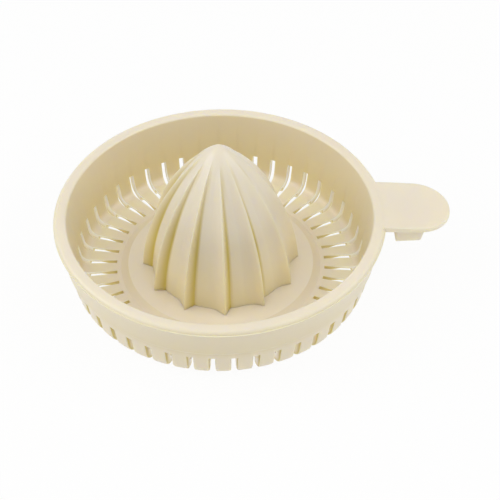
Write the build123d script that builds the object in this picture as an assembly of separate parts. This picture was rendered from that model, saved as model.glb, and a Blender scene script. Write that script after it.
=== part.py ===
from build123d import *
import math
import os

# Lemon squeezer in two mouldings: a slotted strainer dish with a thumb tab, and a ribbed reamer
# that lifts off it. Millimetres, +Z up. The origin is the centre of the dish's flat underside, and
# the thumb tab points along +X.

# Dish body
RIM_DIAMETER = 130.0
RIM_HEIGHT = 30.8
RIM_WIDTH = 5.0
RIM_INNER_ROUND = 1.3
RIM_OUTER_ROUND = 1.6
BEAD_HEIGHT = 2.0
BEAD_EDGE_ROUND = 0.3
WALL_THICKNESS = 4.2
WALL_LEAN = 9.4
STEP_HEIGHT = 15.6
STEP_DEPTH = 0.3
FLOOR_THICKNESS = 3.4
INNER_CORNER_SHARE = 0.39
OUTER_CORNER_ROUND = 7.0

# Raised disc in the middle of the floor
DISC_RISE = 1.3
DISC_RADIUS = 37.1
DISC_SLOPE_WIDTH = 2.9
DISC_EDGE_ROUND = 1.0

# Strainer slots
SLOT_COUNT = 45
SLOT_WIDTH = 2.0
SLOT_SETBACK = 1.8
SLOT_TOP = 11.8

# Thumb tab
TAB_WIDTH = 26.9
TAB_REACH = 90.7
TAB_THICKNESS = 2.2
TAB_DROP = 0.5
TAB_DROOP = 4.6
TAB_ROOT_DEPTH = 3.5
TAB_EDGE_ROUND = 0.5

# Locating lug under the tab
LUG_WIDTH = 21.6
LUG_BOTTOM = 20.8
LUG_GAP = 3.4
LUG_SIDE_LENGTH = 11.6
LUG_END_BULGE = 2.6
LUG_END_DRAFT = 1.8
LUG_WALL = 2.0
LUG_ROOF = 1.5
LUG_EDGE_ROUND = 0.5

# Reamer
OGIVE_RADIUS = 83.5
OGIVE_BASE_RADIUS = 31.3
TIP_ROUND = 5.0
RIB_COUNT = 12
RIB_DEPTH = 3.7
RIB_LEAN = 4.6
RIB_LAND = 0.5
RIB_RUN_OUT = 57.0
FLUTE_STATIONS = 5
FLANK_START_SHARE = 0.57
FLANK_HOLLOW_SHARE = 0.1
REAMER_WALL = 2.3
REAMER_TIP_WALL = 4.5
ARC_POINTS = 9

# Hub collar on the dish, keys inside the reamer
HUB_HEIGHT = 7.0
HUB_WALL = 2.2
HUB_CLEARANCE = 0.3
KEY_COUNT = 3
KEY_WIDTH = 4.0
KEY_HEIGHT = 6.0

# All cuts run past the solid by this much
OVERRUN = 2.0

rim_radius = RIM_DIAMETER / 2
rim_inner_radius = rim_radius - RIM_WIDTH
wall_run = math.tan(math.radians(WALL_LEAN))
disc_top = FLOOR_THICKNESS + DISC_RISE
disc_foot_radius = DISC_RADIUS + DISC_SLOPE_WIDTH
bead_bottom = RIM_HEIGHT - BEAD_HEIGHT


def wall_radius(z):
    """Inner wall radius at a height."""
    return rim_inner_radius - (RIM_HEIGHT - z) * wall_run


def ogive_radius_at(arc_radius, base_radius, z):
    """Radius at a height on an arc that stands upright on the base plane."""
    return math.sqrt(arc_radius**2 - z**2) - (arc_radius - base_radius)


def ogive_arc_through(base_radius, radius, z):
    """Arc radius of an upright arc that starts at base_radius and passes through (radius, z)."""
    fall = base_radius - radius
    return (z**2 + fall**2) / (2 * fall)


def ogive_tip_centre(arc_radius, base_radius, tip_round):
    """Height of the centre of a round tip that touches an upright arc from inside."""
    return math.sqrt((arc_radius - tip_round) ** 2 - (arc_radius - base_radius) ** 2)


def polar_point(radius, degrees, z=0):
    """Point at a radius and an angle about the axis."""
    angle = math.radians(degrees)
    return Vector(radius * math.cos(angle), radius * math.sin(angle), z)


# The rib ridges follow one arc. The flutes between them follow another, which meets it at the
# run-out height.
ridge_run_out = ogive_radius_at(OGIVE_RADIUS, OGIVE_BASE_RADIUS, RIB_RUN_OUT)
root_base_radius = OGIVE_BASE_RADIUS - RIB_DEPTH
root_arc = ogive_arc_through(root_base_radius, ridge_run_out, RIB_RUN_OUT)
tip_top = ogive_tip_centre(OGIVE_RADIUS, OGIVE_BASE_RADIUS, TIP_ROUND) + TIP_ROUND

# The hollow under the reamer runs one wall inside the flutes. Its own round tip stops short of the
# reamer's tip.
hollow_arc = root_arc - REAMER_WALL
hollow_base_radius = root_base_radius - REAMER_WALL
hollow_top = tip_top - REAMER_TIP_WALL
hollow_centre = hollow_arc - hollow_base_radius
hollow_tip_round = (hollow_arc**2 - hollow_centre**2 - hollow_top**2) / (2 * (hollow_arc - hollow_top))

# The hub collar clears the hollow at the collar's own top, where the hollow is narrowest.
hub_top = disc_top + HUB_HEIGHT
hub_radius = ogive_radius_at(hollow_arc, hollow_base_radius, hub_top) - HUB_CLEARANCE
hub_bore_radius = hub_radius - HUB_WALL


def tab_top(x):
    """Height of the tab's upper face at a distance from the axis."""
    return RIM_HEIGHT - TAB_DROP - (x - rim_radius) * math.tan(math.radians(TAB_DROOP))


def dish_shell():
    """Dish of revolution: rim bead, leaning wall, floor and raised disc."""
    inner_corner_round = (wall_radius(FLOOR_THICKNESS) - disc_foot_radius) * INNER_CORNER_SHARE
    outline = [
        (0, 0),
        (wall_radius(0) + WALL_THICKNESS - STEP_DEPTH, 0),
        (wall_radius(STEP_HEIGHT - STEP_DEPTH) + WALL_THICKNESS - STEP_DEPTH, STEP_HEIGHT - STEP_DEPTH),
        (wall_radius(STEP_HEIGHT) + WALL_THICKNESS, STEP_HEIGHT),
        (wall_radius(bead_bottom) + WALL_THICKNESS, bead_bottom),
        (rim_radius, bead_bottom),
        (rim_radius, RIM_HEIGHT),
        (rim_inner_radius, RIM_HEIGHT),
        (wall_radius(FLOOR_THICKNESS), FLOOR_THICKNESS),
        (disc_foot_radius, FLOOR_THICKNESS),
        (DISC_RADIUS, disc_top),
        (0, disc_top),
    ]
    rounds = [
        0,
        OUTER_CORNER_ROUND,
        0,
        0,
        0,
        BEAD_EDGE_ROUND,
        RIM_OUTER_ROUND,
        RIM_INNER_ROUND,
        inner_corner_round,
        DISC_EDGE_ROUND,
        DISC_EDGE_ROUND,
        0,
    ]
    section = make_face(Plane.XZ * FilletPolyline(*outline, radius=rounds, close=True))
    return revolve(section, Axis.Z)


def strainer_slots():
    """One blade per slot, from the floor's inner slot end out through the wall."""
    start = disc_foot_radius + SLOT_SETBACK
    length = rim_radius + OVERRUN - start
    height = SLOT_TOP + OVERRUN
    blade = Pos(start, 0, -OVERRUN) * Box(
        length, SLOT_WIDTH, height, align=(Align.MIN, Align.CENTER, Align.MIN)
    )
    return PolarLocations(0, SLOT_COUNT) * blade


def thumb_tab():
    """Flat tab with straight sides and a round end, drooping away from the rim."""
    root = rim_radius - TAB_ROOT_DEPTH
    end_centre = TAB_REACH - TAB_WIDTH / 2
    straight = Pos((root + end_centre) / 2, 0) * Rectangle(end_centre - root, TAB_WIDTH)
    plan = straight + Pos(end_centre, 0) * Circle(TAB_WIDTH / 2)
    block = extrude(plan, RIM_HEIGHT)
    side = make_face(
        Plane.XZ
        * Polyline(
            (root - OVERRUN, tab_top(root - OVERRUN)),
            (TAB_REACH + OVERRUN, tab_top(TAB_REACH + OVERRUN)),
            (TAB_REACH + OVERRUN, tab_top(TAB_REACH + OVERRUN) - TAB_THICKNESS),
            (root - OVERRUN, tab_top(root - OVERRUN) - TAB_THICKNESS),
            close=True,
        )
    )
    tab = block & extrude(side, TAB_WIDTH, both=True)
    upper = tab.edges().filter_by(lambda edge: edge.center().X > root + TAB_EDGE_ROUND)
    upper = upper.filter_by(Axis.Z, reverse=True)
    return fillet(upper, TAB_EDGE_ROUND)


def lug_plan(inset, end_trim, z):
    """Plan of the lug at a height: flat towards the wall, straight sides and a bulging outer end."""
    near = rim_radius + LUG_GAP + inset
    side = LUG_WIDTH / 2 - inset
    corner = rim_radius + LUG_GAP + LUG_SIDE_LENGTH - end_trim - inset
    edges = [
        Line((near, side, z), (near, -side, z)),
        Line((near, -side, z), (corner, -side, z)),
        ThreePointArc((corner, -side, z), (corner + LUG_END_BULGE, 0, z), (corner, side, z)),
        Line((corner, side, z), (near, side, z)),
    ]
    return make_face(edges)


def locating_lug():
    """Hollow lug under the tab, with a rib along its middle and an end that leans in towards the bottom."""
    near = rim_radius + LUG_GAP
    far = near + LUG_SIDE_LENGTH + LUG_END_BULGE
    lug_roof = (tab_top(near) - TAB_THICKNESS + tab_top(far)) / 2
    lug = loft([lug_plan(0, LUG_END_DRAFT, LUG_BOTTOM), lug_plan(0, 0, lug_roof)], ruled=True)
    upright = lug.edges().filter_by(lambda edge: abs(edge.center().Y) > LUG_WIDTH / 2 - LUG_EDGE_ROUND)
    upright = upright.filter_by(lambda edge: edge.bounding_box().size.Z > LUG_EDGE_ROUND)
    lug = fillet(upright, LUG_EDGE_ROUND)
    pocket_top = tab_top(far) - TAB_THICKNESS - LUG_ROOF
    floor_plan = lug_plan(LUG_WALL, LUG_END_DRAFT, LUG_BOTTOM - OVERRUN)
    pocket = extrude(floor_plan, pocket_top - LUG_BOTTOM + OVERRUN)
    middle = near + LUG_SIDE_LENGTH / 2
    rib_height = RIM_HEIGHT - LUG_BOTTOM + OVERRUN
    rib = Pos(middle, 0, LUG_BOTTOM - OVERRUN) * Box(
        LUG_WIDTH, LUG_WALL, rib_height, align=(Align.CENTER, Align.CENTER, Align.MIN)
    )
    return lug - (pocket - rib)


def hub_collar():
    """Ring on the raised disc, notched for the reamer's keys."""
    ring = Cylinder(hub_radius, HUB_HEIGHT, align=(Align.CENTER, Align.CENTER, Align.MIN))
    ring -= Cylinder(hub_bore_radius, HUB_HEIGHT, align=(Align.CENTER, Align.CENTER, Align.MIN))
    notch = Box(
        hub_radius,
        KEY_WIDTH + 2 * HUB_CLEARANCE,
        HUB_HEIGHT,
        align=(Align.MIN, Align.CENTER, Align.MIN),
    )
    notches = PolarLocations(hub_bore_radius - HUB_WALL, KEY_COUNT) * notch
    return Pos(0, 0, disc_top) * (ring - notches)


def ogive_solid(arc_radius, base_radius, tip_round, low):
    """Solid of revolution under an upright arc, up to its round tip, with its seam inside a flute."""
    tip_centre = ogive_tip_centre(arc_radius, base_radius, tip_round)
    tip_angle = math.atan2(tip_centre, arc_radius - base_radius)
    low_angle = math.asin(low / arc_radius)
    arc_centre = base_radius - arc_radius
    points = []
    for step in range(ARC_POINTS):
        angle = low_angle + (tip_angle - low_angle) * step / (ARC_POINTS - 1)
        points.append((arc_centre + arc_radius * math.cos(angle), arc_radius * math.sin(angle)))
    ends = [(-math.sin(angle), math.cos(angle)) for angle in (low_angle, tip_angle)]
    cap_angle = (tip_angle + math.pi / 2) / 2
    cap_middle = (tip_round * math.cos(cap_angle), tip_centre + tip_round * math.sin(cap_angle))
    edges = [
        Line((0, low), points[0]),
        Spline(*points, tangents=ends),
        ThreePointArc(points[-1], cap_middle, (0, tip_centre + tip_round)),
        Line((0, tip_centre + tip_round), (0, low)),
    ]
    return Rot(0, 0, 180 / RIB_COUNT) * revolve(Plane.XZ * make_face(edges), Axis.Z)


def flute_section(z):
    """Section of one flute at a height: steep face, round floor and hollow flank, closed outside."""
    pitch = 360 / RIB_COUNT
    ridge = ogive_radius_at(OGIVE_RADIUS, OGIVE_BASE_RADIUS, z)
    root = ogive_radius_at(root_arc, root_base_radius, z)
    land = math.degrees(RIB_LAND / OGIVE_BASE_RADIUS) / 2
    outer = ridge + OVERRUN
    steep_turn = RIB_LEAN * (outer - root) / RIB_DEPTH
    floor_start = land + RIB_LEAN * (ridge - root) / RIB_DEPTH
    floor_end = pitch * FLANK_START_SHARE
    steep_outer = polar_point(outer, floor_start - steep_turn, z)
    steep_inner = polar_point(root, floor_start, z)
    crease = polar_point(root, floor_end, z)
    ridge_point = polar_point(ridge, pitch - land, z)
    flank_outer = polar_point(outer, pitch - land, z)
    flank_middle = (crease + ridge_point) / 2
    hollow = (ridge_point - crease).length * FLANK_HOLLOW_SHARE
    flank_middle -= polar_point(hollow, (floor_end + pitch) / 2)
    edges = [
        Line(steep_outer, steep_inner),
        ThreePointArc(steep_inner, polar_point(root, (floor_start + floor_end) / 2, z), crease),
        ThreePointArc(crease, flank_middle, ridge_point),
        Line(ridge_point, flank_outer),
        ThreePointArc(flank_outer, polar_point(outer, pitch / 2, z), steep_outer),
    ]
    return make_face(edges)


def reamer_flutes():
    """All flutes: one lofted along the ogive, copied round the axis."""
    low = disc_top - OVERRUN
    high = RIB_RUN_OUT + OVERRUN
    heights = [low + (high - low) * step / (FLUTE_STATIONS - 1) for step in range(FLUTE_STATIONS)]
    flute = loft([flute_section(z) for z in heights])
    return PolarLocations(0, RIB_COUNT) * flute


def reamer_keys():
    """Keys that stand in from the reamer's wall into the collar's notches."""
    length = root_base_radius - REAMER_WALL / 2 - hub_bore_radius
    key = Pos(0, 0, disc_top) * Box(
        length, KEY_WIDTH, KEY_HEIGHT, align=(Align.MIN, Align.CENTER, Align.MIN)
    )
    return PolarLocations(hub_bore_radius, KEY_COUNT) * key


strainer_dish = dish_shell() - strainer_slots() + thumb_tab() + locating_lug() + hub_collar()
reamer_cone = ogive_solid(OGIVE_RADIUS, OGIVE_BASE_RADIUS, TIP_ROUND, disc_top) - reamer_flutes()
reamer_cone -= ogive_solid(hollow_arc, hollow_base_radius, hollow_tip_round, disc_top - OVERRUN)
reamer_cone += reamer_keys()

os.makedirs("parts", exist_ok=True)
export_step(strainer_dish, "parts/strainer_dish.step")
export_step(reamer_cone, "parts/reamer_cone.step")
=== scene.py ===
import logging
import math
from dataclasses import dataclass
from enum import Enum, IntEnum
from typing import Any, Callable

import bmesh
import bpy
from bmesh.types import BMEdge, BMFace, BMVert, BMesh
from bpy.types import Material, Node, NodeSocket, NodeTree, Object, World
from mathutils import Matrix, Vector


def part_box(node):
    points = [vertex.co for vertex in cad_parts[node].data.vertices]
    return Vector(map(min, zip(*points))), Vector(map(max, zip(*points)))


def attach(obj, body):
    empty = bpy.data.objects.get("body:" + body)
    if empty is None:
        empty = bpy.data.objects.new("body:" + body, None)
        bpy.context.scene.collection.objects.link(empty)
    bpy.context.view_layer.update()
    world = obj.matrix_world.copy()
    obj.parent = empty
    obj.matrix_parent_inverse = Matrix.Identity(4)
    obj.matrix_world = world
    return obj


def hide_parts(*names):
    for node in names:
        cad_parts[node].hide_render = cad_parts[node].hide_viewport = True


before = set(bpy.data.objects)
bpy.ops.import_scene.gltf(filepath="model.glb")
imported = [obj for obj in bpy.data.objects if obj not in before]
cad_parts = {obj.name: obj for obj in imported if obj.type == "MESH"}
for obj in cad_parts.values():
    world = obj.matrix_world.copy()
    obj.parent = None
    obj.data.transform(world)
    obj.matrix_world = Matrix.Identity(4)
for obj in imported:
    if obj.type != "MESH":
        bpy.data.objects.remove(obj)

logging.basicConfig(level=logging.INFO, format="%(name)s: %(message)s")
LOG = logging.getLogger("lemon_squeezer")

MM = 0.001  # one millimetre in metres: sizes below are millimetres, Blender's own values metres
TOUCH = 0.01  # points closer than this are the same point
WELD = 0.0005  # merge distance for copies that share an edge
ROW_LIFT = 0.5  # a new row is first held this far above the last one, to tell their points apart
SMOOTH_DEGREES = 38.0  # faces that meet at less than this are shaded as one surface
SHARP_DEGREES = 50.0  # faces of a slot that meet at more than this get a rounded edge
PAINTED_SHADE_AND_LIGHT = "hollow"  # painted shade and light on each vertex of a piece: 0 in the open, up to 1 for painted shade in a hollow, down to -1 for painted light where the slots bend
WHITE = "ffffff"


class Kind(Enum):
    """What a selection holds, by the name of its select mode."""

    VERTS = "VERT"
    EDGES = "EDGE"
    FACES = "FACE"


class Body(Enum):
    """Bodies of the frame that a piece can ride on."""

    DISH = "dish"
    REAMER = "reamer"


class Edges(IntEnum):
    """Edges along a round, by how large the round looks."""

    NONE = 0
    HAIR = 2
    FINE = 3
    SMALL = 4
    RIM = 6
    LARGE = 8
    TAB_END = 18


def polar(radius: float, degrees: float, z: float) -> Vector:
    """Returns the point at a radius, an angle about the axis and a height."""
    angle = math.radians(degrees)
    return Vector((radius * math.cos(angle), radius * math.sin(angle), z))


def direction(azimuth: float, elevation: float) -> Vector:
    """Returns the unit vector towards an azimuth, counted from the front, and an elevation."""
    rise = math.radians(elevation)
    return polar(math.cos(rise), azimuth - 90, math.sin(rise))


def place(vert: BMVert) -> Vector:
    """Returns a vertex's place in millimetres."""
    return vert.co / MM


def middle(item: BMEdge | BMFace) -> Vector:
    """Returns the mean place of an edge's or a face's vertices in millimetres."""
    return sum((place(vert) for vert in item.verts), Vector()) / len(item.verts)


def radius_of(point: Vector) -> float:
    """Returns a point's distance from the axis."""
    return math.hypot(point.x, point.y)


def degrees_of(point: Vector) -> float:
    """Returns a point's angle about the axis, from 0 to 360."""
    return math.degrees(math.atan2(point.y, point.x)) % 360


class Workpiece:
    """A mesh on the bench, shaped in edit mode. Its methods take millimetres in the part's frame."""

    def __init__(self, name: str, line: list[Vector]) -> None:
        """Puts down one vertex and draws a line from it.

        Args:
            name: Name of the object and of its mesh.
            line: The line's points.
        """
        bpy.ops.mesh.primitive_plane_add(size=MM, location=line[0] * MM)
        self.obj = bpy.context.object
        self.obj.name = self.obj.data.name = name
        bpy.ops.object.transform_apply(location=True, rotation=True, scale=True)
        bpy.ops.object.mode_set(mode="EDIT")
        bpy.ops.mesh.select_mode(type=Kind.VERTS.value)
        bpy.ops.mesh.select_all(action="SELECT")
        bpy.ops.mesh.merge(type="CENTER")
        for start, end in zip(line, line[1:]):
            self.extrude(end - start)

    def shape(self) -> BMesh:
        """Returns the mesh as it is in edit mode."""
        return bmesh.from_edit_mesh(self.obj.data)

    def pick(self, kind: Kind, test: Callable[[Any], bool]) -> None:
        """Selects what passes a test, and nothing else.

        Args:
            kind: Vertices, edges or faces.
            test: Takes one of them and says whether it is selected.
        """
        bpy.ops.mesh.select_mode(type=kind.value)
        bpy.ops.mesh.select_all(action="DESELECT")
        shape = self.shape()
        for item in [item for item in getattr(shape, kind.name.lower()) if test(item)]:
            item.select_set(True)
        shape.select_flush_mode()
        bmesh.update_edit_mesh(self.obj.data)

    def round_corner(self, corner: Vector, radius: float, segments: int) -> None:
        """Rounds one corner of a drawn line with a vertex bevel.

        Args:
            corner: The corner's place.
            radius: Radius of the round.
            segments: Edges along the round.
        """
        self.pick(Kind.VERTS, lambda vert: (place(vert) - corner).length < TOUCH)
        vert = next(vert for vert in self.shape().verts if vert.select)
        arms = [edge.other_vert(vert).co - vert.co for edge in vert.link_edges]
        turn = math.pi - arms[0].angle(arms[1])
        reach = radius * math.tan(turn / 2) * MM
        bpy.ops.mesh.bevel(offset=reach, segments=segments, affect="VERTICES", clamp_overlap=False)

    def spin(self, *turns: tuple[int, float]) -> None:
        """Spins the drawn line about the axis, counter-clockwise. The operator counts clockwise.

        Args:
            turns: Steps and degrees of each turn. A turn starts where the last one ended.
        """
        bpy.ops.mesh.select_all(action="SELECT")
        for steps, degrees in turns:
            bpy.ops.mesh.spin(steps=steps, angle=-math.radians(degrees), center=(0, 0, 0), axis=(0, 0, 1))

    def turn(self, degrees: float) -> None:
        """Turns what is selected about the axis, as spin does."""
        bpy.ops.transform.rotate(value=-math.radians(degrees), orient_axis="Z", center_override=(0, 0, 0))

    def repeat(self, count: int) -> None:
        """Copies everything round the axis and welds the copies where they meet.

        Args:
            count: How many there are in the end, the first one too.
        """
        bpy.ops.mesh.select_all(action="SELECT")
        turn = math.radians(360 / count * (count - 1))
        bpy.ops.mesh.spin(steps=count - 1, angle=turn, center=(0, 0, 0), axis=(0, 0, 1), dupli=True)
        self.weld()

    def weld(self) -> None:
        """Merges vertices that lie on each other."""
        bpy.ops.mesh.select_all(action="SELECT")
        bpy.ops.mesh.remove_doubles(threshold=WELD * MM)

    def face_out(self) -> None:
        """Turns all faces outwards."""
        bpy.ops.mesh.select_all(action="SELECT")
        bpy.ops.mesh.normals_make_consistent(inside=False)

    def cut(self, point: Vector, normal: Vector) -> None:
        """Bisects everything with a plane and keeps both sides."""
        bpy.ops.mesh.select_all(action="SELECT")
        bpy.ops.mesh.bisect(plane_co=point * MM, plane_no=normal)

    def extrude(self, move: Vector) -> None:
        """Extrudes what is selected by a straight move."""
        bpy.ops.mesh.extrude_region_move(TRANSFORM_OT_translate={"value": move * MM})

    def close_outline(self) -> None:
        """Joins the drawn line's last point to its first, as one edge."""
        self.pick(Kind.VERTS, lambda vert: len(vert.link_edges) == 1)
        bpy.ops.mesh.edge_face_add()

    def fill(self) -> None:
        """Fills the closed outline with one face."""
        bpy.ops.mesh.select_all(action="SELECT")
        bpy.ops.mesh.edge_face_add()

    def raise_rows(self, rows: list[list[Vector]]) -> None:
        """Extrudes a drawn line row by row, and settles each new row point by point.

        Args:
            rows: The points of each row. The first row is the line as drawn.
        """
        lift = Vector((0, 0, ROW_LIFT))
        self.pick(Kind.EDGES, lambda edge: True)
        for before, after in zip(rows, rows[1:]):
            self.extrude(lift)
            row = [vert.index for vert in self.shape().verts if vert.select]
            for start, end in zip(before, after):
                self.pick(
                    Kind.VERTS,
                    lambda vert: vert.index in row and (place(vert) - start - lift).length < WELD,
                )
                bpy.ops.transform.translate(value=(end - start - lift) * MM)
            self.pick(Kind.VERTS, lambda vert: vert.index in row)

    def bevel(self, offset: float, segments: int) -> None:
        """Bevels the selected edges."""
        bpy.ops.mesh.bevel(offset=offset * MM, segments=segments, affect="EDGES")

    def close_centre(self, rings: tuple[float, ...], rise: float = 0.0) -> None:
        """Runs the selected open ring in to the axis.

        Args:
            rings: Scale of each ring to the one before.
            rise: How far the point on the axis lies above the last ring.
        """
        for factor in rings:
            self.extrude(Vector())
            bpy.ops.transform.resize(value=(factor, factor, 1), center_override=(0, 0, 0))
        self.extrude(Vector((0, 0, rise)))
        bpy.ops.mesh.merge(type="CENTER")

    def finish(self) -> Object:
        """Turns all faces outwards, leaves edit mode and shades the piece smooth.

        Returns:
            The finished object.
        """
        self.weld()
        self.face_out()
        bpy.ops.object.mode_set(mode="OBJECT")
        bpy.ops.object.shade_smooth_by_angle(angle=math.radians(SMOOTH_DEGREES))
        return self.obj


def fuse(body: Object, *others: Object) -> Object:
    """Joins other solids to a body as one moulding, and removes the other objects.

    Args:
        body: The object that grows.
        others: The solids that become part of it.

    Returns:
        The body.
    """
    for other in others:
        bpy.ops.object.select_all(action="DESELECT")
        body.select_set(True)
        bpy.context.view_layer.objects.active = body
        union = body.modifiers.new("fuse", "BOOLEAN")
        union.operation = "UNION"
        union.solver = "EXACT"
        union.object = other
        bpy.ops.object.modifier_apply(modifier=union.name)
        bpy.data.objects.remove(other)
        bpy.ops.object.shade_smooth_by_angle(angle=math.radians(SMOOTH_DEGREES))
    return body


def linear(code: str) -> tuple[float, float, float, float]:
    """Turns an sRGB colour to linear light, by the formula of the sRGB standard.

    Args:
        code: The colour as six hex digits, such as e8dfc8.

    Returns:
        Red, green, blue and alpha 1.
    """
    parts = [int(code[start : start + 2], 16) / 255 for start in (0, 2, 4)]
    red, green, blue = [
        part / 12.92 if part <= 0.04045 else ((part + 0.055) / 1.055) ** 2.4 for part in parts
    ]
    return red, green, blue, 1.0


def empty_tree(holder: Material | World) -> NodeTree:
    """Gives a material or a world a node tree with nothing in it.

    Args:
        holder: The material or the world.

    Returns:
        The empty tree.
    """
    holder.use_nodes = True
    holder.node_tree.nodes.clear()
    return holder.node_tree


def add_node(tree: NodeTree, kind: str, links: dict[str | int, Any], **settings: Any) -> Node:
    """Adds a node to a tree with its settings and links.

    Args:
        tree: The node tree.
        kind: The node's type name, as it goes on after ShaderNode.
        links: Input names or numbers, with the output socket or plain value that each takes.
        settings: The node's own properties.

    Returns:
        The new node.
    """
    node = tree.nodes.new(f"ShaderNode{kind}")
    for name, value in settings.items():
        setattr(node, name, value)
    for name, value in links.items():
        if isinstance(value, NodeSocket):
            tree.links.new(value, node.inputs[name])
        else:
            node.inputs[name].default_value = value
    return node


def mix_colours(tree: NodeTree, share: NodeSocket, first: Any, second: Any) -> NodeSocket:
    """Returns the mix of two colours. A mix node has its sockets for colours at these numbers."""
    mix = add_node(tree, "Mix", {0: share, 6: first, 7: second}, data_type="RGBA")
    return mix.outputs[2]


def seen_by(tree: NodeTree, *rays: str) -> NodeSocket:
    """Adds the nodes that tell some kinds of rays from all others.

    Args:
        tree: The node tree.
        rays: Those kinds, as the light path's outputs name them.

    Returns:
        The socket that gives 1 to those rays and 0 to others.
    """
    path = add_node(tree, "LightPath", {})
    seen = path.outputs[rays[0]]
    for ray in rays[1:]:
        seen = add_node(tree, "Math", {0: seen, 1: path.outputs[ray]}, operation="MAXIMUM").outputs[0]
    return seen


@dataclass(frozen=True)
class MouldedPolypropylene:
    """Injection-moulded polypropylene: satin and a little translucent, with a painted warm shade in its
    hollows and painted light at the slot bends.
    """

    name: str
    light_colour: str = "efe6d3"
    dark_colour: str = "ebe0ca"
    painted_shade_colour: str = "cfba36"
    painted_light_colour: str = "fffcf6"
    roughness: float = 0.36
    ior: float = 1.49
    gloss: float = 0.8
    glow_share: float = 0.6
    glow_depth: tuple[float, float, float] = (2.8, 2.6, 0.9)
    flow_size: float = 34.0
    grain_size: float = 0.9
    grain_height: float = 0.012

    def material(self) -> Material:
        """Makes the material: broad flow marks in the colour, painted shade and painted light from each
        vertex's value, and a faint spark-eroded grain as bump.

        Returns:
            The new material.
        """
        material = bpy.data.materials.new(self.name)
        tree = empty_tree(material)
        where = add_node(tree, "TexCoord", {}).outputs["Object"]
        waves = {"Vector": where, "Scale": 1 / (self.flow_size * MM), "Detail": 1.0, "Roughness": 0.4}
        flow = add_node(tree, "TexNoise", waves)
        colour = add_node(tree, "ValToRGB", {"Fac": flow.outputs["Fac"]})
        colour.color_ramp.elements[0].color = linear(self.dark_colour)
        colour.color_ramp.elements[1].color = linear(self.light_colour)
        # Painted shade: each vertex's value mixes the colour towards olive yellow, standing in for the
        # darker, warmer light in hollows.
        hollow = add_node(tree, "Attribute", {}, attribute_name=PAINTED_SHADE_AND_LIGHT).outputs["Fac"]
        with_painted_shade = mix_colours(tree, hollow, colour.outputs["Color"], linear(self.painted_shade_colour))
        # Painted light: below 0 the value mixes the colour towards near white, standing in for light that
        # shines in through the slots and makes their bends look paler.
        painted_light_share = add_node(tree, "Math", {0: hollow, 1: -1.0}, operation="MULTIPLY").outputs[0]
        with_painted_light = mix_colours(tree, painted_light_share, with_painted_shade, linear(self.painted_light_colour))
        # The real grain is about 0.05 mm across. It is drawn coarser so that it shows at all.
        pits = {"Vector": where, "Scale": 1 / (self.grain_size * MM), "Detail": 2.0, "Roughness": 0.5}
        grain = add_node(tree, "TexNoise", pits).outputs["Fac"]
        bump = add_node(
            tree, "Bump", {"Height": grain, "Distance": self.grain_height * MM, "Strength": 1.0}
        )
        shader = add_node(
            tree,
            "BsdfPrincipled",
            {
                "Base Color": with_painted_light,
                "Normal": bump.outputs["Normal"],
                "Roughness": self.roughness,
                "IOR": self.ior,
                "Specular IOR Level": self.gloss,
                "Subsurface Weight": self.glow_share,
                "Subsurface Radius": self.glow_depth,
                "Subsurface Scale": MM,
            },
        )
        add_node(tree, "OutputMaterial", {"Surface": shader.outputs["BSDF"]})
        return material

    def coat(self, obj: Object, shade_and_light_paint: Callable[[Vector], float]) -> None:
        """Writes on each vertex of a piece its painted shade, or below 0 its painted light, and gives the
        piece this finish.

        Args:
            obj: The finished piece.
            shade_and_light_paint: Takes a place in millimetres and returns a value as
                PAINTED_SHADE_AND_LIGHT's remark says.
        """
        layer = obj.data.attributes.new(PAINTED_SHADE_AND_LIGHT, "FLOAT", "POINT")
        for item, vert in zip(layer.data, obj.data.vertices):
            item.value = shade_and_light_paint(vert.co / MM)
        obj.data.materials.clear()
        obj.data.materials.append(self.material())


@dataclass(frozen=True)
class StudioFloor:
    """Pale lit table: near white to the camera, with the object's soft shadow left on it."""

    colour: str = "f4f4f2"
    lit_share: float = 0.72  # how much of its light is its own, towards the object
    white_share: float = 0.93  # the same towards the camera and in reflections

    def material(self) -> Material:
        """Makes the floor's material.

        Returns:
            The new material.
        """
        material = bpy.data.materials.new("pale_studio_floor")
        tree = empty_tree(material)
        seen = seen_by(tree, "Is Camera Ray", "Is Glossy Ray")
        share = add_node(
            tree, "MapRange", {"Value": seen, "To Min": self.lit_share, "To Max": self.white_share}
        )
        matt = add_node(tree, "BsdfDiffuse", {"Color": linear(self.colour)})
        white = add_node(tree, "Emission", {"Color": linear(WHITE), "Strength": 1.0})
        mixed = add_node(
            tree, "MixShader", {0: share.outputs["Result"], 1: matt.outputs[0], 2: white.outputs[0]}
        )
        add_node(tree, "OutputMaterial", {"Surface": mixed.outputs["Shader"]})
        return material


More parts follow.
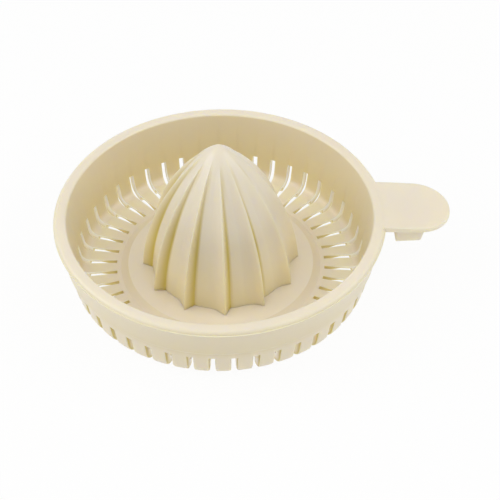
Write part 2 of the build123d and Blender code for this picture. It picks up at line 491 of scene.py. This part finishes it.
@dataclass
class StrainerDish:
    """The dish moulding: rim, leaning wall, slotted floor, raised disc, thumb tab, lug and hub collar.

    A painted shade is a share of the finish's painted shade colour; below 0, painted light is a share of its
    painted light colour.
    """

    rim_radius: float
    rim_height: float
    tab_reach: float
    rim_width: float = 5.0
    rim_inner_round: float = 0.9
    rim_outer_round: float = 1.5
    bead_height: float = 2.0
    bead_edge_round: float = 0.12
    lip_depth: float = 0.4
    lip_height: float = 0.35
    bead_foot_round: float = 0.3
    wall_thickness: float = 4.2
    wall_lean: float = 9.4
    step_height: float = 16.4
    step_depth: float = 0.7
    step_run: float = 1.4
    step_round: float = 0.7
    floor_thickness: float = 3.4
    inner_corner_round: float = 3.6
    outer_corner_round: float = 7.0
    ring_thickness: float = 1.2
    ring_outer_radius: float = 52.7
    ring_inner_radius: float = 49.0
    ring_draft: float = 0.6
    ring_end_height: float = 0.3
    disc_rise: float = 1.3
    disc_radius: float = 37.1
    disc_slope_width: float = 2.9
    disc_edge_round: float = 1.0
    disc_seam_radius: float = 34.0
    centre_ring_shares: tuple[float, ...] = (0.75, 0.6, 0.4)
    sector_steps: int = 2
    slot_count: int = 45
    slot_degrees: float = 1.85
    slot_flare_degrees: float = 0.25
    slot_setback: float = 1.8
    slot_top: float = 11.8
    slot_core_share: float = 0.9
    slot_edge_round: float = 0.25
    tooth_edge_round: float = 0.5
    tab_width: float = 26.9
    tab_thickness: float = 2.2
    tab_droop: float = 5.2
    tab_root_radius: float = 62.6
    tab_sink: float = 0.03
    tab_edge_round: float = 0.55
    tab_rows: int = 8
    tab_half_columns: int = 4
    lug_width: float = 21.6
    lug_bottom: float = 20.8
    lug_gap: float = 3.4
    lug_side_length: float = 11.6
    lug_end_bulge: float = 2.6
    lug_end_draft: float = 1.8
    lug_half_steps: int = 5
    lug_wall: float = 2.0
    lug_roof: float = 1.5
    lug_edge_round: float = 0.6
    hub_radius: float = 24.27
    hub_wall: float = 2.2
    hub_height: float = 7.0
    hub_root: float = 0.6
    hub_edge_round: float = 0.4
    hub_steps: int = 24
    key_count: int = 3
    notch_width: float = 4.6
    # Painted shade, and painted light below 0, on parts of the dish, as shares of the finish's colours.
    painted_shade_fade: float = 2.0
    wall_painted_shade: float = 0.4
    outside_painted_shade: float = 0.12
    step_painted_shade: float = 0.26
    disc_painted_light: float = -0.08
    notch_painted_shade: float = 0.8
    slot_painted_shade: float = 0.6
    slot_paint_share: float = 0.7
    slot_fade: float = 9.0

    def wall_radius(self, z: float) -> float:
        """Returns the inner wall's radius at a height."""
        draft = math.tan(math.radians(self.wall_lean))
        return self.rim_radius - self.rim_width - (self.rim_height - z) * draft

    def disc_top(self) -> float:
        """Returns the height of the raised disc."""
        return self.floor_thickness + self.disc_rise

    def disc_foot(self) -> float:
        """Returns the radius where the slope round the disc ends."""
        return self.disc_radius + self.disc_slope_width

    def slot_start(self) -> float:
        """Returns the radius where the slots begin."""
        return self.disc_foot() + self.slot_setback

    def slot_flare(self) -> float:
        """Returns the slots' width on the outside as a share of their width on the inside."""
        return 1 + 2 * self.slot_flare_degrees / self.slot_degrees

    def tab_top(self, x: float) -> float:
        """Returns the height of the tab's upper face at a distance from the axis."""
        slope = math.tan(math.radians(self.tab_droop))
        return self.rim_height - self.tab_sink - (x - self.tab_root_radius) * slope

    def section(self) -> list[tuple[float, float, float, Edges]]:
        """Works out the wall's section from the disc over the rim to the underside.

        Returns:
            Radius, height, corner round and edges along the round, for each point.
        """
        outer = self.wall_thickness
        stepped = outer - self.step_depth
        step_foot = self.step_height - self.step_run
        lip = self.rim_radius - self.lip_depth
        bead = self.rim_height - self.bead_height
        floor = self.floor_thickness
        wall = self.wall_radius
        sharp = (0.0, Edges.NONE)
        return [
            (self.disc_seam_radius, self.disc_top(), *sharp),
            (self.disc_radius, self.disc_top(), self.disc_edge_round, Edges.SMALL),
            (self.disc_foot(), floor, self.disc_edge_round, Edges.SMALL),
            (self.slot_start(), floor, *sharp),
            (wall(floor), floor, self.inner_corner_round, Edges.LARGE),
            (wall(self.slot_top), self.slot_top, *sharp),
            (self.rim_radius - self.rim_width, self.rim_height, self.rim_inner_round, Edges.RIM),
            (lip, self.rim_height, self.rim_outer_round, Edges.RIM),
            (lip, bead + self.lip_height, self.bead_edge_round, Edges.HAIR),
            (self.rim_radius, bead + self.lip_height, self.bead_edge_round, Edges.HAIR),
            (self.rim_radius, bead, self.bead_edge_round, Edges.HAIR),
            (wall(bead) + outer, bead, self.bead_foot_round, Edges.FINE),
            (wall(self.step_height) + outer, self.step_height, self.step_round, Edges.SMALL),
            (wall(step_foot) + stepped, step_foot, self.step_round, Edges.SMALL),
            (wall(self.slot_top) + stepped, self.slot_top, *sharp),
            (wall(0) + stepped, 0, self.outer_corner_round, Edges.LARGE),
            (self.ring_outer_radius, 0, *sharp),
            (self.ring_outer_radius - self.ring_draft, floor - self.ring_thickness, *sharp),
            (self.ring_inner_radius, floor - self.ring_thickness, *sharp),
            (self.slot_start(), self.ring_end_height, *sharp),
            (self.disc_foot(), 0, *sharp),
            (self.disc_seam_radius, 0, *sharp),
        ]

    def build_wall(self) -> Workpiece:
        """Makes the round dish: one slot's sector spun from the section, opened, copied and closed.

        Returns:
            The dish without tab, lug and collar, still in edit mode.
        """
        pitch = 360 / self.slot_count
        half_bar = (pitch - self.slot_degrees) / 2
        section = self.section()
        corners = [polar(radius, -pitch / 2, z) for radius, z, _, _ in section]
        piece = Workpiece("strainer_dish_moulding", corners)
        for corner, (_, _, radius, edges) in zip(corners, section):
            if edges is not Edges.NONE:
                piece.round_corner(corner, radius, edges)
        piece.spin(*((self.sector_steps, turn) for turn in (half_bar, self.slot_degrees, half_bar)))
        self.open_slot(piece)
        self.round_slot(piece)
        piece.repeat(self.slot_count)
        for low, high in ((self.floor_thickness, self.rim_height), (-TOUCH, TOUCH)):
            piece.pick(Kind.EDGES, lambda edge: edge.is_boundary and low < middle(edge).z < high)
            piece.close_centre(self.centre_ring_shares)
        return piece

    def on_outside(self, point: Vector) -> bool:
        """Tells the outside of the slotted part from its inside.

        Args:
            point: A place on the slotted part.

        Returns:
            True on the outside.
        """
        skin = self.ring_thickness / 2
        bend = self.inner_corner_round * math.tan(math.radians(90 - self.wall_lean) / 2)
        out = max(0, radius_of(point) - self.wall_radius(self.floor_thickness) + bend)
        down = self.floor_thickness + self.inner_corner_round - point.z
        if down < 0:
            return radius_of(point) > self.wall_radius(point.z) + skin
        return math.hypot(out, down) > self.inner_corner_round + skin

    def in_slot(self, point: Vector, share: float = 1.0) -> bool:
        """Says whether a point of the first sector lies in its slot.

        Args:
            point: A place on the sector.
            share: How much of the slot's width counts.

        Returns:
            True in the slot and on its outline.
        """
        half = math.radians(self.slot_degrees / 2)
        inside = abs(math.atan2(point.y, point.x)) < half * share + TOUCH * MM
        return inside and radius_of(point) > self.slot_start() - TOUCH and point.z < self.slot_top + TOUCH

    def open_slot(self, piece: Workpiece) -> None:
        """Opens the slot in a sector: it flares outwards, and its sides and ends are closed.

        Args:
            piece: The sector, spun from the section.
        """
        piece.pick(Kind.FACES, lambda face: self.in_slot(middle(face), self.slot_core_share))
        bpy.ops.mesh.delete(type="FACE")
        for side in (-1, 1):

            def flares(vert: BMVert) -> bool:
                """Says whether a vertex of the slot's outline is on this side and on the outside."""
                on_side = vert.is_boundary and self.in_slot(place(vert)) and vert.co.y * side > 0
                return on_side and self.on_outside(place(vert))

            piece.pick(Kind.VERTS, flares)
            piece.turn(side * self.slot_flare_degrees)

        def rim_edge(edge: BMEdge) -> bool:
            """Says whether an edge is on the open slot's outline."""
            return edge.is_boundary and self.in_slot(middle(edge), self.slot_flare())

        for side in (-1, 1):
            piece.pick(
                Kind.EDGES,
                lambda edge: rim_edge(edge) and min(vert.co.y * side for vert in edge.verts) > TOUCH * MM,
            )
            bpy.ops.mesh.bridge_edge_loops()
        for inner_end in (True, False):
            piece.pick(
                Kind.EDGES,
                lambda edge: rim_edge(edge) and (middle(edge).z < self.disc_top()) == inner_end,
            )
            bpy.ops.mesh.edge_face_add()

    def round_slot(self, piece: Workpiece) -> None:
        """Rounds the slot's edges: finely on the inside, and more on the teeth between the slots outside.

        Args:
            piece: The sector with its open slot.
        """
        piece.face_out()
        for outside, radius in ((False, self.slot_edge_round), (True, self.tooth_edge_round)):

            def sharp(edge: BMEdge) -> bool:
                """Says whether an edge is a sharp one of the slot, on the side at hand."""
                ends = [self.on_outside(place(vert)) == outside for vert in edge.verts]
                corner = edge.is_manifold and edge.calc_face_angle() > math.radians(SHARP_DEGREES)
                return corner and all(ends) and self.in_slot(middle(edge), self.slot_flare())

            piece.pick(Kind.EDGES, sharp)
            piece.bevel(radius, Edges.HAIR)

    def build_tab(self) -> Object:
        """Makes the thumb tab: a drooping plate with a round end, its root hidden in the rim.

        Returns:
            The tab as a solid of its own.
        """
        side = self.tab_width / 2
        root_angle = math.degrees(math.asin(side / self.tab_root_radius))

        def on_top(x: float, y: float) -> Vector:
            """Returns a point of the tab's upper face."""
            return Vector((x, y, self.tab_top(x)))

        half = self.tab_half_columns
        roots = [polar(self.tab_root_radius, root_angle * step / half, 0) for step in range(-half, half + 1)]
        ends = [on_top(self.tab_reach, side), on_top(self.tab_reach, -side)]
        outline = [on_top(self.tab_root_radius, point.y) for point in roots] + ends
        piece = Workpiece("thumb_tab", outline)
        piece.close_outline()
        for end in ends:
            piece.round_corner(end, side - TOUCH, Edges.TAB_END)
        piece.fill()
        piece.extrude(Vector((0, 0, -self.tab_thickness)))

        def outer_edge(edge: BMEdge) -> bool:
            """Says whether an edge runs along the outline, outside the root."""
            along = abs(edge.verts[0].co.z - edge.verts[1].co.z) < self.tab_thickness / 2 * MM
            return along and middle(edge).x > self.tab_root_radius + TOUCH

        piece.pick(Kind.EDGES, outer_edge)
        piece.bevel(self.tab_edge_round, Edges.SMALL)
        for step in range(1, self.tab_rows):
            x = self.tab_root_radius + (self.tab_reach - self.tab_root_radius) * step / self.tab_rows
            piece.cut(Vector((x, 0, 0)), Vector((1, 0, 0)))
        for step in range(1 - half, half):
            piece.cut(Vector((0, side * step / half, 0)), Vector((0, 1, 0)))
        return piece.finish()

    def build_lug(self) -> Object:
        """Makes the hollow lug under the tab, with a rib along its middle and an end that leans in.

        Returns:
            The lug as a solid of its own.
        """
        near = self.rim_radius + self.lug_gap
        far = near + self.lug_side_length + self.lug_end_bulge
        side = self.lug_width / 2
        top = (self.tab_top(near) - self.tab_thickness + self.tab_top(far)) / 2
        outline = [Vector((near, side, self.lug_bottom)), Vector((near, -side, self.lug_bottom))]
        for step in range(-self.lug_half_steps, self.lug_half_steps + 1):
            y = side * step / self.lug_half_steps
            outline.append(Vector((self.lug_end(near, y), y, self.lug_bottom)))
        piece = Workpiece("locating_lug", outline)
        piece.close_outline()
        piece.fill()
        piece.extrude(Vector((0, 0, top - self.lug_bottom)))
        piece.pick(Kind.VERTS, lambda vert: place(vert).z > top - TOUCH and place(vert).x > near + TOUCH)
        bpy.ops.transform.translate(value=(self.lug_end_draft * MM, 0, 0))

        def upright(edge: BMEdge) -> bool:
            """Says whether an edge is one of the lug's upright corners."""
            tall = abs(edge.verts[0].co.z - edge.verts[1].co.z) > self.lug_roof * MM
            return tall and abs(middle(edge).y) > side - TOUCH

        piece.pick(Kind.FACES, lambda face: abs(middle(face).z - self.lug_bottom) < TOUCH)
        bpy.ops.mesh.inset(thickness=self.lug_wall * MM)
        for half_rib in (-self.lug_wall / 2, self.lug_wall / 2):
            piece.pick(Kind.FACES, lambda face: self.inside_lug(face, near))
            bpy.ops.mesh.bisect(plane_co=(0, half_rib * MM, 0), plane_no=(0, 1, 0))
        piece.pick(
            Kind.FACES,
            lambda face: self.inside_lug(face, near) and abs(middle(face).y) > self.lug_wall / 2 + TOUCH,
        )
        depth = self.tab_top(far) - self.tab_thickness - self.lug_roof - self.lug_bottom
        piece.extrude(Vector((0, 0, depth)))
        piece.pick(Kind.EDGES, upright)
        piece.bevel(self.lug_edge_round, Edges.SMALL)
        return piece.finish()

    def lug_end(self, near: float, y: float) -> float:
        """Returns how far the lug's bottom reaches from the axis, at a distance from its middle."""
        bulge = self.lug_end_bulge * (1 - (2 * y / self.lug_width) ** 2)
        return near + self.lug_side_length - self.lug_end_draft + bulge

    def inside_lug(self, face: BMFace, near: float) -> bool:
        """Says whether a face is in the lug's underside, inside its walls.

        Args:
            face: A face of the lug.
            near: Distance of the lug's near side from the axis.

        Returns:
            True where the lug is hollowed, and on the rib.
        """
        points = [place(vert) for vert in face.verts]
        level = all(abs(point.z - self.lug_bottom) < TOUCH for point in points)
        behind = all(point.x > near + self.lug_wall - TOUCH for point in points)
        before = all(point.x < self.lug_end(near, point.y) - self.lug_wall / 2 for point in points)
        return level and behind and before

    def build_collar(self) -> Object:
        """Makes the hub collar: one arc of a ring between two notches, copied round the axis.

        Returns:
            The collar's arcs as one object.
        """
        bore = self.hub_radius - self.hub_wall
        gap = math.degrees(math.asin(self.notch_width / 2 / self.hub_radius))
        foot = self.disc_top() - self.hub_root
        head = self.disc_top() + self.hub_height
        corners = [(bore, foot), (self.hub_radius, foot), (self.hub_radius, head), (bore, head)]
        outline = [polar(radius, gap, z) for radius, z in corners]
        piece = Workpiece("hub_collar", outline)
        piece.close_outline()
        for corner in outline[2:]:
            piece.round_corner(corner, self.hub_edge_round, Edges.FINE)
        piece.fill()
        piece.spin((self.hub_steps, 360 / self.key_count - 2 * gap))
        bpy.ops.mesh.select_all(action="SELECT")
        bpy.ops.mesh.fill_holes(sides=0)
        piece.repeat(self.key_count)
        return piece.finish()

    def build(self) -> Object:
        """Returns the whole moulding as one object."""
        return fuse(self.build_wall().finish(), self.build_tab(), self.build_lug(), self.build_collar())

    def shade_and_light_paint(self, point: Vector) -> float:
        """Works out the painted shade of a point: none on the rim, faint outside, most on the slots and the
        inside, with painted light on the disc and at the slot bends.

        Args:
            point: A place on the dish.

        Returns:
            Painted shade from 0 to 1, and painted light below 0 on the disc and where the slots bend up the
            wall.
        """
        pitch = 360 / self.slot_count
        beside = abs((degrees_of(point) + pitch / 2) % pitch - pitch / 2) - self.slot_degrees / 2
        radius = radius_of(point)
        slotted = radius > self.slot_start() - TOUCH and point.z < self.slot_top + TOUCH
        outside = self.on_outside(point)
        # Painted shade: the sides of the notches outside are made olive.
        if slotted and outside and beside < self.slot_flare_degrees + TOUCH:
            return self.notch_painted_shade
        # Painted shade along the slot's edges at its inner end, turning into painted light where the slot
        # bends up the wall.
        edge = self.slot_edge_round * self.slot_paint_share
        if slotted and not outside and math.radians(beside) * radius < edge:
            along = min(1.0, max(0.0, radius - self.slot_start()) / self.slot_fade)
            return self.slot_painted_shade - (1 + self.slot_painted_shade) * along
        if radius > self.rim_radius + TOUCH:
            return 0.0
        # Painted light: the raised disc is made a little paler.
        if radius < self.disc_radius + TOUCH and point.z > self.floor_thickness:
            return self.disc_painted_light
        # Painted shade: faint on the outside below the rim, stronger in a band at the step, and on the inner
        # wall growing from the floor up.
        below_rim = min(1.0, (self.rim_height - point.z) / self.painted_shade_fade)
        if radius > self.wall_radius(point.z) + TOUCH or point.z < self.floor_thickness - TOUCH:
            at_step = abs(point.z - self.step_height + self.step_run / 2) < self.step_run
            return self.step_painted_shade if at_step else below_rim * self.outside_painted_shade
        up_wall = min(1.0, (point.z - self.floor_thickness) / self.inner_corner_round)
        return below_rim * self.wall_painted_shade * up_wall

    def dress(self, obj: Object, finish: MouldedPolypropylene) -> None:
        """Gives the moulding its finish, and its place on the frame.

        Args:
            obj: The whole moulding.
            finish: What it is moulded in.
        """
        finish.coat(obj, self.shade_and_light_paint)
        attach(obj, Body.DISH.value)
        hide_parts("strainer_dish")


@dataclass
class ReamerCone:
    """The reamer moulding: hollow ogive with saw-tooth ribs, a round tip and keys inside its foot."""

    foot_height: float
    ogive_radius: float = 83.5
    ogive_base_radius: float = 31.3
    tip_round: float = 5.0
    rib_count: int = 12
    rib_depth: float = 3.7
    rib_lean: float = 4.6
    rib_land: float = 0.5
    rib_run_out: float = 60.0
    flank_start_share: float = 0.57
    flank_hollow_share: float = 0.1
    flank_shares: tuple[float, ...] = (0.35, 0.6, 0.82)
    crease_end_share: float = 0.25
    least_lean_share: float = 0.25
    least_round_share: float = 0.05
    round_reach_share: float = 0.4
    ridge_round: float = 0.16
    crease_round: float = 0.4
    valley_round: float = 0.4
    foot_round: float = 0.05
    wall: float = 2.3
    tip_wall: float = 4.5
    key_count: int = 3
    key_width: float = 4.0
    key_height: float = 6.0
    key_lift: float = 0.05
    key_inner_radius: float = 22.07
    key_edge_round: float = 0.3
    outside_rows: int = 34
    hollow_rows: int = 12
    tip_rows: int = 4
    # Painted shade round the reamer's foot, fading out higher up.
    foot_painted_shade: float = 0.3
    foot_fade: float = 24.0

    def __post_init__(self) -> None:
        """Works out the arcs that the flutes' roots and the hollow follow, and where the tips begin."""
        self.root_base = self.ogive_base_radius - self.rib_depth
        fall = self.root_base - self.arc_at(self.ogive_radius, self.ogive_base_radius, self.rib_run_out)
        self.root_arc = (self.rib_run_out**2 + fall**2) / (2 * fall)
        self.tip_centre = self.tip_centre_of(self.ogive_radius, self.ogive_base_radius, self.tip_round)
        self.hollow_arc = self.root_arc - self.wall
        self.hollow_base = self.root_base - self.wall
        top = self.tip_centre + self.tip_round - self.tip_wall
        spread = self.hollow_arc**2 - (self.hollow_arc - self.hollow_base) ** 2 - top**2
        self.hollow_round = spread / (2 * (self.hollow_arc - top))

    @staticmethod
    def arc_at(arc: float, base: float, z: float) -> float:
        """Returns the radius at a height on an arc that stands upright on the base plane."""
        return math.sqrt(arc**2 - z**2) - (arc - base)

    @staticmethod
    def tip_centre_of(arc: float, base: float, tip_round: float) -> float:
        """Returns the height of the centre of a round tip that touches an upright arc from inside."""
        return math.sqrt((arc - tip_round) ** 2 - (arc - base) ** 2)

    def heights(self, arc: float, base: float, tip_round: float, rows: int) -> list[tuple[float, float]]:
        """Works out the rows of a round-tipped ogive.

        Args:
            arc: Radius of the upright arc.
            base: The arc's radius about the axis on the base plane.
            tip_round: Radius of the round tip.
            rows: Rows along the arc. Those of the tip come on top.

        Returns:
            Height and radius of each row, from the foot up.
        """
        centre = self.tip_centre_of(arc, base, tip_round)
        tip_angle = math.atan2(centre, arc - base)
        low_angle = math.asin(self.foot_height / arc)
        result = []
        for step in range(rows):
            angle = low_angle + (tip_angle - low_angle) * step / (rows - 1)
            result.append((arc * math.sin(angle), base - arc + arc * math.cos(angle)))
        for step in range(1, self.tip_rows + 1):
            angle = tip_angle + (math.pi / 2 - tip_angle) * step / (self.tip_rows + 1)
            result.append((centre + tip_round * math.sin(angle), tip_round * math.cos(angle)))
        return result

    def rib_row(self, z: float, ridge: float, inset: float = 0.0) -> list[Vector]:
        """Works out one row of one rib, from the middle of a flute's floor to the middle of the next.

        Args:
            z: The row's height.
            ridge: Radius of the ridge there.
            inset: How far the whole row is drawn in towards the axis.

        Returns:
            The row's points.
        """
        pitch = 360 / self.rib_count
        depth = 0.0
        if z < self.rib_run_out:
            depth = max(0.0, ridge - self.arc_at(self.root_arc, self.root_base, z))
        share = depth / self.rib_depth
        root = ridge - depth
        land = math.degrees(self.rib_land / self.ogive_base_radius) / 2
        valley = land + self.rib_lean * max(share, self.least_lean_share)
        crease = pitch * self.flank_start_share
        floor_middle = (land + self.rib_lean + crease) / 2

        def on(radius: float, degrees: float) -> Vector:
            """Returns a point of the row."""
            return polar(radius - inset, degrees, z)

        flank_start, flank_end = on(root, crease), on(ridge, pitch - land)
        chord = flank_end - flank_start
        inward = on(1.0 + inset, (crease + pitch) / 2) - Vector((0, 0, z))

        def flank(along: float) -> Vector:
            """Returns a point of the hollow flank, at a share of its width."""
            hollow = chord.length * self.flank_hollow_share * share * 4 * along * (1 - along)
            return flank_start + chord * along - inward * hollow

        def rounded(before: Vector, corner: Vector, after: Vector, radius: float) -> list[Vector]:
            """Rounds a corner of the row, less where the rib fades out.

            Args:
                before: The point before the corner.
                corner: The corner itself.
                after: The point after it.
                radius: Reach of the round where the rib is full.

            Returns:
                Three points.
            """
            back, ahead = before - corner, after - corner
            room = min(back.length, ahead.length) * self.round_reach_share
            reach = min(radius * max(share, self.least_round_share), room)
            start, end = corner + back.normalized() * reach, corner + ahead.normalized() * reach
            return [start, (start + 2 * corner + end) / 4, end]

        steep_top, steep_foot = on(ridge, pitch + land), on(root, pitch + valley)
        floor_points = [on(root, floor_middle), on(root, (floor_middle + crease) / 2)]
        next_floor = [on(root, pitch + (floor_middle + valley) / 2), on(root, pitch + floor_middle)]
        return [
            *floor_points,
            *rounded(floor_points[-1], flank_start, flank(self.crease_end_share), self.crease_round),
            *(flank(along) for along in self.flank_shares),
            *rounded(flank(self.flank_shares[-1]), flank_end, steep_top, self.ridge_round),
            *rounded(flank_end, steep_top, steep_foot, self.ridge_round),
            *rounded(steep_top, steep_foot, next_floor[0], self.valley_round),
            *next_floor,
        ]

    def build_shell(self) -> Workpiece:
        """Makes the ribbed shell: one rib's strip from the hollow's top round the foot to the tip, copied.

        Returns:
            The shell without its keys, still in edit mode.
        """
        outside = self.heights(self.ogive_radius, self.ogive_base_radius, self.tip_round, self.outside_rows)
        inside = self.heights(self.hollow_arc, self.hollow_base, self.hollow_round, self.hollow_rows)
        foot_z, foot_radius = outside[0]
        foot_row = self.rib_row(foot_z, foot_radius, self.foot_round)
        rise = foot_z + self.foot_round
        first = self.rib_row(rise, self.arc_at(self.ogive_radius, self.ogive_base_radius, rise))
        angles = [degrees_of(point) for point in foot_row]
        rows = [[polar(radius, angle, z) for angle in angles] for z, radius in reversed(inside)]
        rows += [foot_row, first]
        rows += [self.rib_row(z, radius) for z, radius in outside[1:]]
        piece = Workpiece("reamer_cone_moulding", rows[0])
        piece.raise_rows(rows)
        piece.repeat(self.rib_count)
        tip = self.tip_centre + self.tip_round
        for (ring, _), pole in ((outside[-1], tip), (inside[-1], tip - self.tip_wall)):
            piece.pick(Kind.EDGES, lambda edge: edge.is_boundary and abs(middle(edge).z - ring) < TOUCH)
            piece.close_centre((), pole - ring)
        return piece

    def build_keys(self) -> Object:
        """Makes the keys that stand in from the wall, drawn once and copied.

        Returns:
            The keys as one object.
        """
        inner, outer = self.key_inner_radius, self.root_base - self.wall / 2
        half = self.key_width / 2
        corners = [(inner, half), (outer, half), (outer, -half), (inner, -half)]
        foot = self.foot_height + self.key_lift
        outline = [Vector((x, y, foot)) for x, y in corners]
        piece = Workpiece("reamer_keys", outline)
        piece.close_outline()
        piece.fill()
        piece.extrude(Vector((0, 0, self.key_height - self.key_lift)))
        piece.pick(Kind.EDGES, lambda edge: middle(edge).z > foot + TOUCH)
        piece.bevel(self.key_edge_round, Edges.FINE)
        piece.repeat(self.key_count)
        return piece.finish()

    def build(self) -> Object:
        """Returns the whole moulding as one object."""
        return fuse(self.build_shell().finish(), self.build_keys())

    def shade_and_light_paint(self, point: Vector) -> float:
        """Works out the painted shade of a point: most at the foot of a rib's steep side, some round the
        foot.

        Args:
            point: A place on the reamer.

        Returns:
            Painted shade from 0 to 1.
        """
        if point.z > self.tip_centre:
            return 0.0
        ridge = self.arc_at(self.ogive_radius, self.ogive_base_radius, point.z)
        depth = (ridge - radius_of(point)) / self.rib_depth
        past_ridge = degrees_of(point) % (360 / self.rib_count)
        near_side = 1 - (past_ridge - self.rib_lean) / (self.rib_lean / 2)
        above_foot = min(1.0, (point.z - self.foot_height) / self.foot_fade)
        # Painted shade at the foot of each rib's steep side and round the reamer's foot.
        return max(self.foot_painted_shade * (1 - above_foot), min(1.0, depth, near_side))

    def dress(self, obj: Object, finish: MouldedPolypropylene) -> None:
        """Gives the moulding its finish, and its place on the frame.

        Args:
            obj: The whole moulding.
            finish: What it is moulded in.
        """
        finish.coat(obj, self.shade_and_light_paint)
        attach(obj, Body.REAMER.value)
        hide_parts("reamer_cone")


@dataclass(frozen=True)
class SoftLamp:
    """One soft box over the table."""

    name: str
    azimuth: float
    elevation: float
    power: float
    distance: float = 1100.0
    size: float = 700.0

    def hang(self, aim: Vector) -> None:
        """Hangs the lamp and turns it to a point.

        Args:
            aim: The point, in metres.
        """
        lamp = bpy.data.lights.new(self.name, "AREA")
        lamp.shape = "DISK"
        lamp.size = self.size * MM
        lamp.energy = self.power
        holder = bpy.data.objects.new(self.name, lamp)
        bpy.context.scene.collection.objects.link(holder)
        away = direction(self.azimuth, self.elevation)
        holder.location = aim + away * self.distance * MM
        holder.rotation_euler = away.to_track_quat("Z", "Y").to_euler()


@dataclass
class Studio:
    """White product studio: floor, light from above, soft boxes and the camera of the photograph."""

    aim: tuple[float, float, float] = (11.76, -0.78, 10.0)
    azimuth: float = -3.8
    elevation: float = 44.02
    distance: float = 612.0
    focal_pixels: float = 1530.0
    frame_pixels: float = 500.0
    sensor_width: float = 36.0
    nearest_seen: float = 10.0
    floor_size: float = 6000.0
    horizon: float = 0.0
    zenith: float = 0.92
    lamps: tuple[SoftLamp, ...] = (
        SoftLamp("left_soft_box", azimuth=-92.0, elevation=34.0, power=3.1),
        SoftLamp("right_soft_box", azimuth=88.0, elevation=34.0, power=2.15),
        SoftLamp("front_left_soft_box", azimuth=-48.0, elevation=42.0, power=1.1),
        SoftLamp("front_right_soft_box", azimuth=48.0, elevation=42.0, power=1.3),
    )

    def build_floor(self) -> None:
        """Lays the floor under the object."""
        bpy.ops.mesh.primitive_plane_add(size=self.floor_size * MM)
        floor = bpy.context.object
        floor.name = "studio_floor"
        floor.data.materials.append(StudioFloor().material())

    def build_world(self) -> None:
        """Lights the scene from above, less towards the horizon, and shows white behind it."""
        world = bpy.data.worlds.new("white_studio")
        bpy.context.scene.world = world
        tree = empty_tree(world)
        seen = seen_by(tree, "Is Camera Ray", "Is Glossy Ray", "Is Transmission Ray")
        way = add_node(tree, "TexCoord", {}).outputs["Generated"]
        parts = add_node(tree, "SeparateXYZ", {"Vector": way})
        level = add_node(
            tree, "MapRange", {"Value": parts.outputs["Z"], "To Min": self.horizon, "To Max": self.zenith}
        )
        light = add_node(tree, "Background", {"Color": linear(WHITE), "Strength": level.outputs["Result"]})
        white = add_node(tree, "Background", {"Color": linear(WHITE), "Strength": 1.0})
        mixed = add_node(tree, "MixShader", {0: seen, 1: light.outputs[0], 2: white.outputs[0]})
        add_node(tree, "OutputWorld", {"Surface": mixed.outputs["Shader"]})

    def build_camera(self) -> None:
        """Sets the camera up where the photograph was taken from."""
        lens = bpy.data.cameras.new("photo_camera")
        lens.sensor_width = self.sensor_width
        lens.lens = lens.sensor_width * self.focal_pixels / self.frame_pixels
        lens.clip_start = self.nearest_seen * MM
        lens.clip_end = self.floor_size * MM
        camera = bpy.data.objects.new("photo_camera", lens)
        bpy.context.scene.collection.objects.link(camera)
        away = direction(self.azimuth, self.elevation)
        camera.location = (Vector(self.aim) + away * self.distance) * MM
        camera.rotation_euler = away.to_track_quat("Z", "Y").to_euler()
        bpy.context.scene.camera = camera

    def build(self) -> None:
        """Builds the stage, the light and the camera."""
        self.build_floor()
        self.build_world()
        for lamp in self.lamps:
            lamp.hang(Vector(self.aim) * MM)
        self.build_camera()
        bpy.context.scene.view_settings.view_transform = "Standard"


def main() -> None:
    """Builds the squeezer's two mouldings, the stage, the light and the camera."""
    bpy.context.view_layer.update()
    dish_low, dish_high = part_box("strainer_dish")
    reamer_low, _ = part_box("reamer_cone")
    cream = MouldedPolypropylene("cream_moulded_polypropylene")
    pieces = (
        StrainerDish(
            rim_radius=min(dish_high.y, -dish_low.x) / MM,
            rim_height=dish_high.z / MM,
            tab_reach=dish_high.x / MM,
        ),
        ReamerCone(foot_height=reamer_low.z / MM),
    )
    for piece in pieces:
        moulding = piece.build()
        piece.dress(moulding, cream)
        LOG.info("%s: %d faces", moulding.name, len(moulding.data.polygons))
    Studio().build()
    bpy.context.view_layer.update()


if __name__ == "__main__":
    main()
